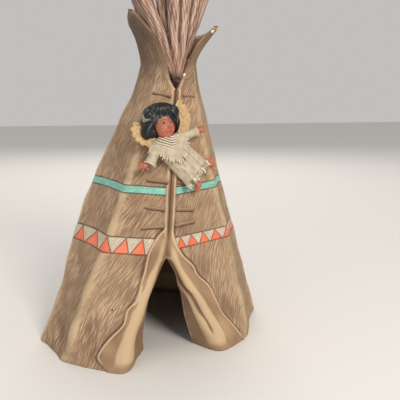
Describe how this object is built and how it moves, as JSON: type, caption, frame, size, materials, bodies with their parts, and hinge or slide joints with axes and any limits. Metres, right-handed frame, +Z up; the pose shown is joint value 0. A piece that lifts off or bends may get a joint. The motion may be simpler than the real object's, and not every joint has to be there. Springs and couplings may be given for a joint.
{
  "type": "ceramic teepee figurine",
  "caption": "Hollow ceramic teepee figurine with an open door, smoke flaps, a fan of fused poles and a winged child on its front.",
  "frame": {"origin": "middle of the bounding box at the ground that the base rim stands on", "axes": "+Z up through the poles, -Y out of the door, +X to the right as the door is seen"},
  "size_m": [0.1399, 0.134, 0.2239],
  "materials": {
    "bisque_tan": "unglazed ceramic bisque, dry-brushed tan stain with painted turquoise, coral and cream bands",
    "pole_brown": "the same ceramic, stained mauve brown with a pale dry brush",
    "dress_cream": "ceramic, cream paint with grey washes",
    "hair_black": "ceramic, glossy black paint",
    "skin_terracotta": "ceramic, satin terracotta paint",
    "wing_gold": "ceramic, gold paint worn to cream at the edges"
  },
  "bodies": {
    "root": {"teepee": "bisque_tan", "winged_child": "dress_cream"}
  },
  "joints": []
}
